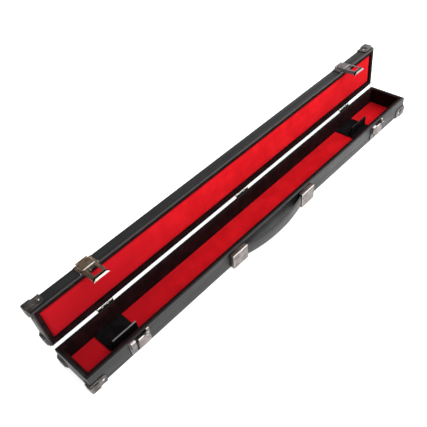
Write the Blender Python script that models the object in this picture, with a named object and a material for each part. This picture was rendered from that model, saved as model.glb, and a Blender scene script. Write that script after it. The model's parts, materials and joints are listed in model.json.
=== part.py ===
"""Hard attache-style case for a two-piece billiard cue, standing open.

A long shallow tray of covered boards carries a lid on three knuckle hinges behind it. Two hasps on the
lid drop over keepers on the front of the tray, a bowed strap handle is caught in two brackets between
them, and metal caps guard the eight outer corners. Inside are a felt floor and two divided rests.

Sizes are metres. X runs along the case, -Y is the front with the handle, +Z is up. The origin is in the
middle of the case, on the plane that its corner caps stand on. The lid and all that it carries are
modelled closed and then turned open about the hinge axis.
"""
import math

import bmesh
import bpy
from mathutils import Matrix, Vector

# ---- driving dimensions ----
LENGTH = 0.820
WIDTH = 0.077
BASE_HEIGHT = 0.0366
LID_HEIGHT = 0.021
LID_OPEN_ANGLE = math.radians(93.0)
GAP = 0.0003
RIM_GAP = 0.0004

# ---- boards and linings ----
WALL = 0.0075
PANEL = 0.003
EDGE_RADIUS = 0.0014
LINING = 0.0012
LINING_DROP = 0.0010
FELT = 0.0010
PAD_RECESS = 0.0014

# ---- cue rests: X of the middle, and how far in front of the centre line the divider stands ----
REST_LENGTH = 0.0535
REST_THICKNESS = 0.0020
REST_PLACES = {"left": (-0.3262, -0.0108), "right": (0.2995, -0.0025)}
DIVIDER_THICKNESS = 0.0024
DIVIDER_TOP = 0.0265
DIVIDER_INSET = 0.0015
DIVIDER_SLANT = 0.0065

# ---- hinges ----
HINGE_PLACES = {"left": -0.313, "middle": 0.0, "right": 0.313}
HINGE_STANDOFF = 0.0026
HINGE_RISE = 0.0020
HINGE_LENGTH = 0.030
KNUCKLE_RADIUS = 0.0018
KNUCKLE_HOLE = 0.00105
KNUCKLE_SPLIT = 0.0068
KNUCKLE_WEB = ((-0.0022, -0.0014), (-0.0022, -0.0026))
STOP_TOOTH = ((-0.00125, -0.0010), (-0.00125, -0.0028), (-0.0004, -0.0028), (0.0004, -0.0014))
STOP_HALF = 0.0030
PIN_RADIUS = 0.0008
PIN_HEAD = (0.0012, 0.0015, 0.0010)
LEAF = 0.0010
LEAF_EDGE = 0.00165
BASE_LEAF_DROP = 0.0195
LID_LEAF_RISE = 0.0160
HINGE_SCREW_X = 0.0095
BASE_SCREW_DROP = 0.0120
LID_SCREW_RISE = 0.0105

# ---- corner caps: reach along X, Y and Z from the board's corner, and the thick corner they swell into ----
CAP = 0.0010
CAP_REACH = (0.0258, 0.0165, 0.0172)
CAP_TIP_RADIUS = 0.0055
CAP_EDGE_RADIUS = 0.0009
BULGE = 0.0016
BULGE_REACH = 0.0125
BULGE_RADIUS = 0.0024
BULGE_ROOT = 0.0007
CAP_NAIL_SETBACK = 0.0060
CAP_NAIL_RISE = 0.0090

# ---- latches: X of the hasps; heights are measured from the rim, and depths outwards from the front ----
LATCH_PLACES = {"left": -0.3105, "right": 0.3135}
LATCH_PLATE = 0.0010
BASE_PLATE_X = (-0.0255, 0.0135)
BASE_PLATE_Z = (-0.0300, -0.0003)
BASE_PLATE_LIP = ((-0.0005, 0.0008, -0.0013), (0.0083, 0.0034, -0.0003))
LID_PLATE_HALF = 0.0160
LID_PLATE_Z = (0.0008, 0.0200)
HASP_TOP_HALF = 0.0100
HASP_FOOT_HALF = 0.0140
HASP_PROUD = 0.0060
HASP_SHEET = 0.0010
HASP_END = -0.0290
HASP_LIP_HALF = 0.0124
HASP_LIP_DEPTH = 0.0027
HASP_SHOULDER = 0.0149
HASP_PIVOT_RISE = 0.0180
HASP_PIVOT_PROUD = 0.0038
HASP_BARREL_RADIUS = 0.0022
HASP_BARREL_HALF = 0.0058
HASP_PIN_RADIUS = 0.0010
WINDOW_HALF = 0.0066
WINDOW_TOP = -0.0015
WINDOW_END = -0.0230
WINDOW_BAR = (0.0065, 0.0012, 0.0068)
WINDOW_TAB = ((-0.0042, -0.0022, -0.0075), (-0.0048, -0.0016, -0.0095))
KEEPER_FOOT_HALF = 0.0113
KEEPER_TOP_HALF = 0.0087
KEEPER_PROUD = 0.0046
KEEPER_Z = (-0.0266, -0.0045)
LATCH_RIVETS = {
    "base": ((-0.0190, -0.0215), (-0.0190, -0.0275), (0.0105, -0.0024)),
    "lid": ((-0.0080, 0.0062), (0.0080, 0.0062)),
}
SLIDE_TRAVEL = 0.0030
BOLT_Z = (-0.0042, -0.0022)
BOLT_DEPTH = (-0.0016, -0.0004)
POCKET_DEPTH = 0.0028
BUTTON_RISER_X = (-0.0215, -0.0185)
HOOK_RISER_X = (0.0015, 0.0045)
HOOK_END = 0.0084
HOOK_DEPTH = (0.0063, 0.0071)
BUTTON_X = (-0.0235, -0.0148)
BUTTON_Z = (-0.0170, -0.0005)
BUTTON_PROUD = 0.0052

# ---- handle ----
HANDLE_X = -0.0135
BRACKET_INNER = 0.0727
BRACKET_OUTER = 0.1070
BRACKET_BOTTOM = 0.0045
BRACKET_TOP = 0.0340
BRACKET_DEPTH = 0.0090
BRACKET_SHEET = 0.0010
BRACKET_PRONG = (0.0060, 0.0045)
STRAP_BOTTOM = 0.0075
STRAP_TOP = 0.0315
STRAP_THICKNESS = 0.0030
STRAP_PROUD = 0.0049
STRAP_BOW = 0.0100

# ---- fasteners: head radius, head height, shank radius, shank length ----
NAIL = (0.0020, 0.0008, 0.0008, 0.0050)
SCREW = (0.0020, 0.0008, 0.0010, 0.0058)
RIVET = (0.0017, 0.0006, 0.0009, 0.0050)
FASTENER_SIDES = 8

# ---- worked out from the above ----
HALF_LENGTH = LENGTH / 2
HALF_WIDTH = WIDTH / 2
BOARD_BOTTOM = GAP + CAP + BULGE
PANEL_TOP = BOARD_BOTTOM + PANEL
FELT_TOP = PANEL_TOP + GAP + FELT
LID_RIM = BASE_HEIGHT + RIM_GAP
LID_TOP = LID_RIM + LID_HEIGHT
INNER_X = HALF_LENGTH - WALL - GAP
INNER_Y = HALF_WIDTH - WALL - GAP
REST_HALF_WIDTH = INNER_Y - LINING - GAP
HINGE_AXIS = Vector((0.0, HALF_WIDTH + HINGE_STANDOFF, BASE_HEIGHT + HINGE_RISE))
FRONT_FACE = -HALF_WIDTH

ROLES = {
    "cover": ((0.075, 0.073, 0.075), 0.55, 0.0),
    "felt": ((0.62, 0.015, 0.02), 0.95, 0.0),
    "lining": ((0.02, 0.016, 0.018), 0.9, 0.0),
    "rest": ((0.018, 0.017, 0.02), 0.8, 0.0),
    "nickel": ((0.58, 0.54, 0.51), 0.32, 1.0),
    "steel": ((0.50, 0.50, 0.50), 0.4, 1.0),
    "black_nickel": ((0.10, 0.09, 0.09), 0.35, 1.0),
    "strap": ((0.09, 0.09, 0.09), 0.6, 0.0),
}


# ---- mesh helpers ----
def add_box(bm, low, high):
    """A closed box between two corners."""
    corners = [Vector((x, y, z)) for x in (low[0], high[0]) for y in (low[1], high[1]) for z in (low[2], high[2])]
    verts = [bm.verts.new(corner) for corner in corners]
    for face in ((0, 1, 3, 2), (4, 6, 7, 5), (0, 4, 5, 1), (2, 3, 7, 6), (0, 2, 6, 4), (1, 5, 7, 3)):
        bm.faces.new([verts[i] for i in face])


def add_prism(bm, outline, axis, start, end):
    """A closed prism: the outline lies in the plane across the axis, its two numbers in X, Y, Z order."""
    def place(point, along):
        values = list(point)
        values.insert("XYZ".index(axis), along)
        return Vector(values)

    first = [bm.verts.new(place(point, start)) for point in outline]
    second = [bm.verts.new(place(point, end)) for point in outline]
    count = len(outline)
    bm.faces.new(first)
    bm.faces.new(list(reversed(second)))
    for i in range(count):
        j = (i + 1) % count
        bm.faces.new([first[j], first[i], second[i], second[j]])


def add_turned(bm, profile, placing, sides):
    """A solid turned about its local Z. The profile runs from pole to pole as (radius, height)."""
    rings = []
    for radius, height in profile:
        if radius == 0:
            rings.append([bm.verts.new(placing @ Vector((0, 0, height)))])
            continue
        angles = [2 * math.pi * i / sides for i in range(sides)]
        ring = [Vector((radius * math.cos(a), radius * math.sin(a), height)) for a in angles]
        rings.append([bm.verts.new(placing @ point) for point in ring])
    for low, high in zip(rings, rings[1:]):
        for i in range(sides):
            j = (i + 1) % sides
            if len(low) == 1:
                bm.faces.new([low[0], high[j], high[i]])
            elif len(high) == 1:
                bm.faces.new([low[i], low[j], high[0]])
            else:
                bm.faces.new([low[i], low[j], high[j], high[i]])


def along(position, direction):
    """The placing that puts local Z along a direction at a position."""
    return Matrix.Translation(position) @ Vector(direction).to_track_quat("Z", "Y").to_matrix().to_4x4()


def add_rod(bm, position, direction, radius, start, end, sides=12):
    """A plain rod from start to end along a direction."""
    profile = [(0, start), (radius, start), (radius, end), (0, end)]
    add_turned(bm, profile, along(position, direction), sides)


def add_fastener(bm, position, direction, size, sunk, deeper=0.0):
    """A domed head sunk this far into the surface at the position, with its shank behind it."""
    head_radius, head_height, shank_radius, shank_length = size
    end = -shank_length + deeper
    profile = [
        (0, end),
        (shank_radius, end + shank_radius),
        (shank_radius, -sunk),
        (head_radius, -sunk),
        (head_radius * 0.72, -sunk + head_height * 0.75),
        (0, -sunk + head_height),
    ]
    add_turned(bm, profile, along(position, direction), FASTENER_SIDES)


def add_fastener_hole(bm, position, direction, size, above):
    """The cutter for one fastener: it starts above the surface and ends just past the shank."""
    add_rod(bm, position, direction, size[2] + GAP, -size[3] - GAP, above, FASTENER_SIDES)


def round_edges(bm, chosen, radius, segments=2):
    """Rounds the edges whose middle the test accepts."""
    edges = [e for e in bm.edges if chosen((e.verts[0].co + e.verts[1].co) / 2, e)]
    bmesh.ops.bevel(bm, geom=edges, offset=radius, offset_type="OFFSET", segments=segments,
                    profile=0.5, affect="EDGES", clamp_overlap=True)


def arc(centre, radius, first, last, steps):
    """Points on an arc, its angles in degrees."""
    angles = [math.radians(first + (last - first) * i / steps) for i in range(steps + 1)]
    return [(centre[0] + radius * math.cos(a), centre[1] + radius * math.sin(a)) for a in angles]


# ---- objects, materials and carriers ----
def make_material(role):
    colour, roughness, metallic = ROLES[role]
    made = bpy.data.materials.new(role)
    made.use_nodes = True
    shader = made.node_tree.nodes["Principled BSDF"]
    shader.inputs["Base Color"].default_value = (*colour, 1.0)
    shader.inputs["Roughness"].default_value = roughness
    shader.inputs["Metallic"].default_value = metallic
    made.diffuse_color = (*colour, 1.0)
    return made


def make_carrier(name, position, parent=None):
    """An empty on a joint's axis. What it carries is modelled with the lid closed."""
    carrier = bpy.data.objects.new(name, None)
    carrier.empty_display_size = 0.02
    bpy.context.collection.objects.link(carrier)
    carrier["home"] = list(position)
    if parent is None:
        carrier.location = position
    else:
        carrier.parent = parent
        carrier.location = Vector(position) - Vector(parent["home"])
    return carrier


def make_object(name, bm, role, carrier=None, smooth=False):
    """Closes a mesh up as one named object, riding on its carrier."""
    bmesh.ops.recalc_face_normals(bm, faces=bm.faces)
    mesh = bpy.data.meshes.new(name)
    home = Vector(carrier["home"]) if carrier else Vector((0, 0, 0))
    bm.transform(Matrix.Translation(-home))
    bm.to_mesh(mesh)
    bm.free()
    made = bpy.data.objects.new(name, mesh)
    bpy.context.collection.objects.link(made)
    made.parent = carrier
    made.data.materials.append(bpy.data.materials.get(role) or make_material(role))
    if smooth:
        mesh.shade_smooth()
        mesh.set_sharp_from_angle(angle=math.radians(35))
    return made


def join_shape(target, bm, operation):
    """Adds a Boolean with a hidden helper that rides where its target rides."""
    carrier = target.parent
    helper = make_object(target.name + "_" + operation.lower(), bm, "steel", carrier)
    helper.hide_render = True
    helper.display_type = "WIRE"
    step = target.modifiers.new(operation.title(), "BOOLEAN")
    step.operation = operation
    step.object = helper


# ---- the fasteners' places, each as (position on the surface, outward direction, size) ----
def cap_nail_place(level, sx, sy):
    """The nail near the tip of a cap's long strap."""
    height = BOARD_BOTTOM + CAP_NAIL_RISE if level == "base" else LID_TOP - CAP_NAIL_RISE
    spot = Vector((sx * (HALF_LENGTH - CAP_REACH[0] + CAP_NAIL_SETBACK), sy * HALF_WIDTH, height))
    return spot, Vector((0, sy, 0)), NAIL


def cap_nail_places(level):
    return [cap_nail_place(level, sx, sy) for sx in (-1, 1) for sy in (-1, 1)]


def hinge_screw_places(level, hinges):
    """Two fixings a leaf, for hinges at these X."""
    rise = -BASE_SCREW_DROP if level == "base" else LID_SCREW_RISE
    return [
        (Vector((x + side * HINGE_SCREW_X, HALF_WIDTH, HINGE_AXIS.z + rise)), Vector((0, 1, 0)), SCREW)
        for x in hinges for side in (-1, 1)
    ]


def latch_rivet_places(level, latches):
    """The rivets of the latch plates, for latches at these X."""
    spots = LATCH_RIVETS[level]
    rim = BASE_HEIGHT if level == "base" else LID_RIM
    return [
        (Vector((x + dx, FRONT_FACE, rim + dz)), Vector((0, -1, 0)), RIVET)
        for x in latches for dx, dz in spots
    ]


def all_places(level):
    """Every fastener that enters the boards of one half."""
    return (cap_nail_places(level) + hinge_screw_places(level, HINGE_PLACES.values())
            + latch_rivet_places(level, LATCH_PLACES.values()))


def drill(target, places, above=0.003):
    """Cuts the holes for a list of fasteners into a board or a cap."""
    bm = bmesh.new()
    for place, direction, size in places:
        add_fastener_hole(bm, place, direction, size, above)
    join_shape(target, bm, "DIFFERENCE")


def rivet(target, places, stand):
    """Joins set rivets to a plate of this stand-off: their heads outside it and their shanks behind it."""
    bm = bmesh.new()
    for place, direction, size in places:
        add_fastener(bm, place + direction * stand, direction, size, 0.0002, -stand)
    join_shape(target, bm, "UNION")


# ---- boards, linings and felt ----
def build_boards(level, bottom, top, carrier):
    """The four walls of one half. The long walls run to the ends and the end walls sit between them."""
    holes = all_places(level)

    def outer_edge(middle, edge):
        on_long_side = abs(abs(middle.y) - HALF_WIDTH) < 1e-6
        on_end = abs(abs(middle.x) - HALF_LENGTH) < 1e-6
        flat = abs(edge.verts[0].co.z - edge.verts[1].co.z) < 1e-6
        upright_corner = on_long_side and on_end
        return (flat and (on_long_side or on_end)) or upright_corner

    for name, side in (("front_wall", -1), ("rear_wall", 1)):
        bm = bmesh.new()
        near, far = side * (HALF_WIDTH - WALL), side * HALF_WIDTH
        add_box(bm, (-HALF_LENGTH, min(near, far), bottom), (HALF_LENGTH, max(near, far), top))
        round_edges(bm, outer_edge, EDGE_RADIUS)
        wall = make_object(f"{level}_{name}", bm, "cover", carrier)
        drill(wall, [hole for hole in holes if hole[1].y == side])
        if level == "base" and side == -1:
            cut_fittings_pockets(wall)
    for name, side in (("left_end", -1), ("right_end", 1)):
        bm = bmesh.new()
        near, far = side * (HALF_LENGTH - WALL), side * HALF_LENGTH
        add_box(bm, (min(near, far), -INNER_Y, bottom), (max(near, far), INNER_Y, top))
        round_edges(bm, outer_edge, EDGE_RADIUS)
        make_object(f"{level}_{name}", bm, "cover", carrier)


def cut_fittings_pockets(wall):
    """The blind pockets behind the latch plates, where the bolts slide, and the slots for the handle's prongs."""
    bm = bmesh.new()
    for x in LATCH_PLACES.values():
        bolt_box(bm, x, (BUTTON_RISER_X[0] - SLIDE_TRAVEL - GAP, -POCKET_DEPTH, BOLT_Z[0] - GAP),
                 (HOOK_RISER_X[1] + GAP, 0.001, BOLT_Z[1] + GAP))
    for sign in (-1, 1):
        for low, high in prong_spans(sign, GAP):
            add_box(bm, (low.x, low.y - 0.001, low.z), high)
    join_shape(wall, bm, "DIFFERENCE")


def prong_spans(sign, room):
    """The two prongs of a handle bracket as boxes from the wall's face inwards, with room on every side."""
    middle = HANDLE_X + sign * (BRACKET_INNER + BRACKET_OUTER) / 2
    width, depth = BRACKET_PRONG
    spans = []
    for bottom in (BRACKET_BOTTOM, BRACKET_TOP - BRACKET_SHEET):
        low = Vector((middle - width / 2 - room, FRONT_FACE, bottom - room))
        high = Vector((middle + width / 2 + room, FRONT_FACE + depth + room, bottom + BRACKET_SHEET + room))
        spans.append((low, high))
    return spans


def build_panel(name, bottom, top, role, carrier=None, margin=0.0, rounding=0.0):
    """A flat panel, felt or pad that fills the inside of one half."""
    bm = bmesh.new()
    half_x, half_y = INNER_X - margin, INNER_Y - margin
    add_box(bm, (-half_x, -half_y, bottom), (half_x, half_y, top))
    if rounding:
        round_edges(bm, lambda middle, edge: True, rounding)
    return make_object(name, bm, role, carrier)


def build_lining(name, bottom, top, carrier=None):
    """The thin black strip glued round the inside of the walls, as one ring."""
    bm = bmesh.new()
    loops = []
    for inset in (0.0, LINING):
        x, y = INNER_X - inset, INNER_Y - inset
        corners = [(-x, -y), (x, -y), (x, y), (-x, y)]
        loops.append([[bm.verts.new((*corner, z)) for corner in corners] for z in (bottom, top)])
    (outer_low, outer_high), (inner_low, inner_high) = loops
    for i in range(4):
        j = (i + 1) % 4
        bm.faces.new([outer_low[i], outer_low[j], outer_high[j], outer_high[i]])
        bm.faces.new([inner_low[j], inner_low[i], inner_high[i], inner_high[j]])
        bm.faces.new([outer_high[i], outer_high[j], inner_high[j], inner_high[i]])
        bm.faces.new([outer_low[j], outer_low[i], inner_low[i], inner_low[j]])
    make_object(name, bm, "lining", carrier)


def build_rest(side):
    """A thin black pad across the tray, slotted for an upright divider between the two cue halves."""
    middle, offset = REST_PLACES[side]
    bottom = FELT_TOP + GAP
    left, right = middle - REST_LENGTH / 2, middle + REST_LENGTH / 2
    bm = bmesh.new()
    add_box(bm, (left, -REST_HALF_WIDTH, bottom), (right, REST_HALF_WIDTH, bottom + REST_THICKNESS))
    pad = make_object(f"cue_pad_{side}", bm, "rest")
    slot = bmesh.new()
    half_slot = DIVIDER_THICKNESS / 2 + GAP
    add_box(slot, (left + DIVIDER_INSET - GAP, offset - half_slot, bottom - 0.001),
            (right + 0.001, offset + half_slot, bottom + REST_THICKNESS + 0.001))
    join_shape(pad, slot, "DIFFERENCE")

    divider = bmesh.new()
    outline = [(left + DIVIDER_INSET, bottom), (right, bottom), (right, DIVIDER_TOP),
               (left + DIVIDER_INSET + DIVIDER_SLANT, DIVIDER_TOP)]
    add_prism(divider, outline, "Y", offset - DIVIDER_THICKNESS / 2, offset + DIVIDER_THICKNESS / 2)
    make_object(f"cue_divider_{side}", divider, "rest")


# ---- hinges ----
def knuckle_outline(up):
    """A leaf's knuckle with its web, about the hinge axis, in Y and Z. The web starts inside the plate."""
    points = list(KNUCKLE_WEB) + arc((0, 0), KNUCKLE_RADIUS, -75, 195, 9)
    return [(HINGE_AXIS.y + y, HINGE_AXIS.z + z * up) for y, z in points]


def build_hinge(side, carrier):
    """One stop hinge: two leaves and a pin. A tooth on the lid's knuckle meets the base's plate when open."""
    x = HINGE_PLACES[side]
    half = HINGE_LENGTH / 2
    plate_y = (HALF_WIDTH + GAP, HALF_WIDTH + GAP + LEAF)
    split = KNUCKLE_SPLIT

    bm = bmesh.new()
    add_box(bm, (x - half, plate_y[0], HINGE_AXIS.z - BASE_LEAF_DROP),
            (x + half, plate_y[1], HINGE_AXIS.z - LEAF_EDGE))
    leaf = make_object(f"hinge_{side}_base_leaf", bm, "black_nickel", None, True)
    knuckles = bmesh.new()
    add_prism(knuckles, knuckle_outline(1), "X", x - half, x - split - GAP)
    add_prism(knuckles, knuckle_outline(1), "X", x + split + GAP, x + half)
    join_shape(leaf, knuckles, "UNION")
    finish_leaf(leaf, x, "base")

    bm = bmesh.new()
    add_box(bm, (x - half, plate_y[0], HINGE_AXIS.z + LEAF_EDGE),
            (x + half, plate_y[1], HINGE_AXIS.z + LID_LEAF_RISE))
    leaf = make_object(f"hinge_{side}_lid_leaf", bm, "black_nickel", carrier, True)
    knuckle = bmesh.new()
    add_prism(knuckle, knuckle_outline(-1), "X", x - split, x + split)
    join_shape(leaf, knuckle, "UNION")
    closing = Matrix.Rotation(LID_OPEN_ANGLE, 2)
    closed_tooth = [closing @ Vector(point) for point in STOP_TOOTH]
    stop = bmesh.new()
    add_prism(stop, [(HINGE_AXIS.y + p.x, HINGE_AXIS.z + p.y) for p in closed_tooth], "X",
              x - STOP_HALF, x + STOP_HALF)
    join_shape(leaf, stop, "UNION")
    finish_leaf(leaf, x, "lid")

    bm = bmesh.new()
    end, head = half + GAP, half + PIN_HEAD[2]
    profile = [(0, -head), (PIN_HEAD[0], -head), (PIN_HEAD[1], -end), (PIN_RADIUS, -end)]
    profile += [(radius, -height) for radius, height in reversed(profile)]
    add_turned(bm, profile, along(Vector((x, HINGE_AXIS.y, HINGE_AXIS.z)), (1, 0, 0)), 12)
    make_object(f"hinge_{side}_pin", bm, "steel", None, True)


def finish_leaf(leaf, x, level):
    """The pin hole along the knuckles, and the two rivets that hold the plate."""
    bm = bmesh.new()
    add_rod(bm, Vector((x, HINGE_AXIS.y, HINGE_AXIS.z)), (1, 0, 0), KNUCKLE_HOLE, -0.02, 0.02)
    join_shape(leaf, bm, "DIFFERENCE")
    rivet(leaf, hinge_screw_places(level, [x]), GAP + LEAF)


def build_nail(name, place, direction, size, carrier):
    """A loose nail whose head stands on its cap."""
    bm = bmesh.new()
    stand = GAP + CAP
    add_fastener(bm, place + direction * stand, direction, size, -GAP, -stand)
    make_object(name, bm, "steel", carrier, True)


# ---- corner caps ----
def add_corner_shell(bm, outer, inner, reach, radii):
    """Three plates that meet in a corner. The radii round the plates' tips, the corner's edges and the rims."""
    bx, by, bz = reach
    rings = []
    for a in (-outer, -inner):
        rings.append({key: bm.verts.new(point) for key, point in {
            "o": (a, a, a), "x": (bx, a, a), "y": (a, by, a), "z": (a, a, bz),
            "xy": (bx, by, a), "xz": (bx, a, bz), "yz": (a, by, bz)}.items()})
    outside, inside = rings
    for ring in (("o", "x", "xy", "y"), ("o", "z", "xz", "x"), ("o", "y", "yz", "z")):
        bm.faces.new([outside[k] for k in ring])
        bm.faces.new([inside[k] for k in reversed(ring)])
    for low, mid, high in (("xy", "x", "xz"), ("yz", "y", "xy"), ("xz", "z", "yz")):
        bm.faces.new([outside[low], outside[mid], outside[high], inside[high], inside[mid], inside[low]])

    def at_reach(point):
        return sum(abs(point[i] - reach[i]) < 1e-6 for i in range(3))

    def on_outside(point):
        return min(abs(value + outer) for value in point) < 1e-6

    def tip(middle, edge):
        return at_reach(middle) == 2

    def corner(middle, edge):
        return sum(abs(middle[i] + outer) < 1e-6 for i in range(3)) == 2

    def rim(middle, edge):
        return at_reach(middle) and all(on_outside(vert.co) for vert in edge.verts)

    tip_radius, corner_radius, rim_radius = radii
    round_edges(bm, tip, tip_radius, 4)
    round_edges(bm, corner, corner_radius, 3)
    if rim_radius:
        round_edges(bm, rim, rim_radius, 2)


def build_cap(level, sx, sy, carrier):
    """A pressed cap round one outer corner: three thin tabs, nailed at the longest, and a swollen corner."""
    sz = 1 if level == "base" else -1
    corner_z = BOARD_BOTTOM if level == "base" else LID_TOP
    placing = Matrix.Translation((sx * HALF_LENGTH, sy * HALF_WIDTH, corner_z)) @ Matrix.Diagonal((-sx, -sy, sz, 1))
    bm = bmesh.new()
    add_corner_shell(bm, GAP + CAP, GAP, CAP_REACH, (CAP_TIP_RADIUS, CAP_EDGE_RADIUS, 0))
    bm.transform(placing)
    ends = {-1: "left", 1: "right"}
    faces = {-1: "front", 1: "rear"}
    name = f"{faces[sy]}_{ends[sx]}"
    cap = make_object(f"{level}_cap_{name}", bm, "nickel", carrier, True)

    swollen = bmesh.new()
    add_corner_shell(swollen, GAP + CAP + BULGE, BULGE_ROOT, (BULGE_REACH,) * 3, (BULGE_RADIUS, BULGE_RADIUS, CAP))
    swollen.transform(placing)
    join_shape(cap, swollen, "UNION")
    nail = cap_nail_place(level, sx, sy)
    drill(cap, [nail])
    build_nail(f"{level}_nail_{name}", *nail, carrier)


# ---- latches ----
def proud(distance):
    """The Y of a point that stands this far out from the front face."""
    return FRONT_FACE - distance


def build_lid_plate(side, x, carrier):
    """The plate riveted to the lid, with two lugs for the hasp's pin."""
    pivot = (proud(HASP_PIVOT_PROUD), LID_RIM + HASP_PIVOT_RISE)
    bm = bmesh.new()
    add_box(bm, (x - LID_PLATE_HALF, proud(GAP + LATCH_PLATE), LID_RIM + LID_PLATE_Z[0]),
            (x + LID_PLATE_HALF, proud(GAP), LID_RIM + LID_PLATE_Z[1]))
    plate = make_object(f"latch_{side}_lid_plate", bm, "nickel", carrier, True)
    lugs = bmesh.new()
    foot_y = proud(GAP + LATCH_PLATE * 0.4)
    outline = [(foot_y, pivot[1] - 0.0022), (pivot[0], pivot[1] - HASP_BARREL_RADIUS)]
    outline += arc(pivot, HASP_BARREL_RADIUS, 240, 90, 7)
    outline += [(foot_y, pivot[1] + 0.0006)]
    lug_from = HASP_BARREL_HALF + GAP
    add_prism(lugs, outline, "X", x - HASP_TOP_HALF, x - lug_from)
    add_prism(lugs, outline, "X", x + lug_from, x + HASP_TOP_HALF)
    join_shape(plate, lugs, "UNION")
    holes = bmesh.new()
    add_rod(holes, Vector((x, *pivot)), (1, 0, 0), HASP_PIN_RADIUS + GAP, -0.015, 0.015, 10)
    join_shape(plate, holes, "DIFFERENCE")
    rivet(plate, latch_rivet_places("lid", [x]), GAP + LATCH_PLATE)
    pin = bmesh.new()
    add_rod(pin, Vector((x, *pivot)), (1, 0, 0), HASP_PIN_RADIUS, -HASP_TOP_HALF, HASP_TOP_HALF, 10)
    make_object(f"latch_{side}_pin", pin, "steel", carrier, True)


def build_hasp(side, x, carrier):
    """The pressed hasp: an arched sheet with a closed lower end, a barrel, and a window with a bar and a tab."""
    foot = GAP + LATCH_PLATE + GAP
    inner_top = HASP_TOP_HALF - 0.0006
    inner_foot = HASP_FOOT_HALF - 0.0016
    under = HASP_PROUD - HASP_SHEET
    section = [(-HASP_FOOT_HALF, foot), (-HASP_TOP_HALF, HASP_PROUD), (HASP_TOP_HALF, HASP_PROUD),
               (HASP_FOOT_HALF, foot), (inner_foot, foot), (inner_top, under), (-inner_top, under),
               (-inner_foot, foot)]
    bm = bmesh.new()
    add_prism(bm, [(x + u, proud(v)) for u, v in section], "Z", LID_RIM + HASP_END, LID_RIM + HASP_SHOULDER)
    hasp = make_object(f"latch_{side}_hasp", bm, "nickel", carrier, True)

    lip = bmesh.new()
    lip_section = [(-HASP_LIP_HALF, HASP_LIP_DEPTH), (-HASP_TOP_HALF + 0.0002, HASP_PROUD - 0.0003),
                   (HASP_TOP_HALF - 0.0002, HASP_PROUD - 0.0003), (HASP_LIP_HALF, HASP_LIP_DEPTH)]
    add_prism(lip, [(x + u, proud(v)) for u, v in lip_section], "Z",
              LID_RIM + HASP_END - 0.0006, LID_RIM + HASP_END + 0.0008)
    join_shape(hasp, lip, "UNION")

    pivot = (proud(HASP_PIVOT_PROUD), LID_RIM + HASP_PIVOT_RISE)
    barrel = bmesh.new()
    outline = [(proud(HASP_PROUD), LID_RIM + HASP_SHOULDER - 0.0010), (proud(under), LID_RIM + HASP_SHOULDER - 0.0010)]
    outline += arc(pivot, HASP_BARREL_RADIUS, 285, 540, 9)
    add_prism(barrel, outline, "X", x - HASP_BARREL_HALF, x + HASP_BARREL_HALF)
    join_shape(hasp, barrel, "UNION")

    holes = bmesh.new()
    add_box(holes, (x - WINDOW_HALF, proud(HASP_PROUD + 0.002), LID_RIM + WINDOW_END),
            (x + WINDOW_HALF, proud(under - 0.0002), LID_RIM + WINDOW_TOP))
    add_rod(holes, Vector((x, *pivot)), (1, 0, 0), HASP_PIN_RADIUS + GAP, -0.015, 0.015, 10)
    join_shape(hasp, holes, "DIFFERENCE")

    bar_half, bar_height, bar_proud = WINDOW_BAR
    bar = bmesh.new()
    add_box(bar, (x - bar_half, proud(bar_proud), LID_RIM + WINDOW_TOP),
            (x + bar_half, proud(under), LID_RIM + WINDOW_TOP + bar_height))
    join_shape(hasp, bar, "UNION")
    (stem_left, stem_right, stem_end), (end_left, end_right, end_low) = WINDOW_TAB
    tab = bmesh.new()
    outline = [(stem_left, WINDOW_TOP + bar_height / 2), (stem_right, WINDOW_TOP + bar_height / 2),
               (stem_right, stem_end + 0.0010), (end_right, stem_end), (end_right, end_low), (end_left, end_low),
               (end_left, stem_end), (stem_left, stem_end + 0.0010)]
    low, high = proud(HASP_PROUD - 0.0001), proud(under + 0.0001)
    tab_outline = [(x + u, LID_RIM + v) for u, v in outline]
    add_prism(tab, tab_outline, "Y", low, high)
    join_shape(hasp, tab, "UNION")


def bolt_box(bm, x, low, high):
    """A box of the sliding bolt or its slots, given as (x, distance out, height from the rim)."""
    add_box(bm, (x + low[0], proud(high[1]), BASE_HEIGHT + low[2]), (x + high[0], proud(low[1]), BASE_HEIGHT + high[2]))


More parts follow.
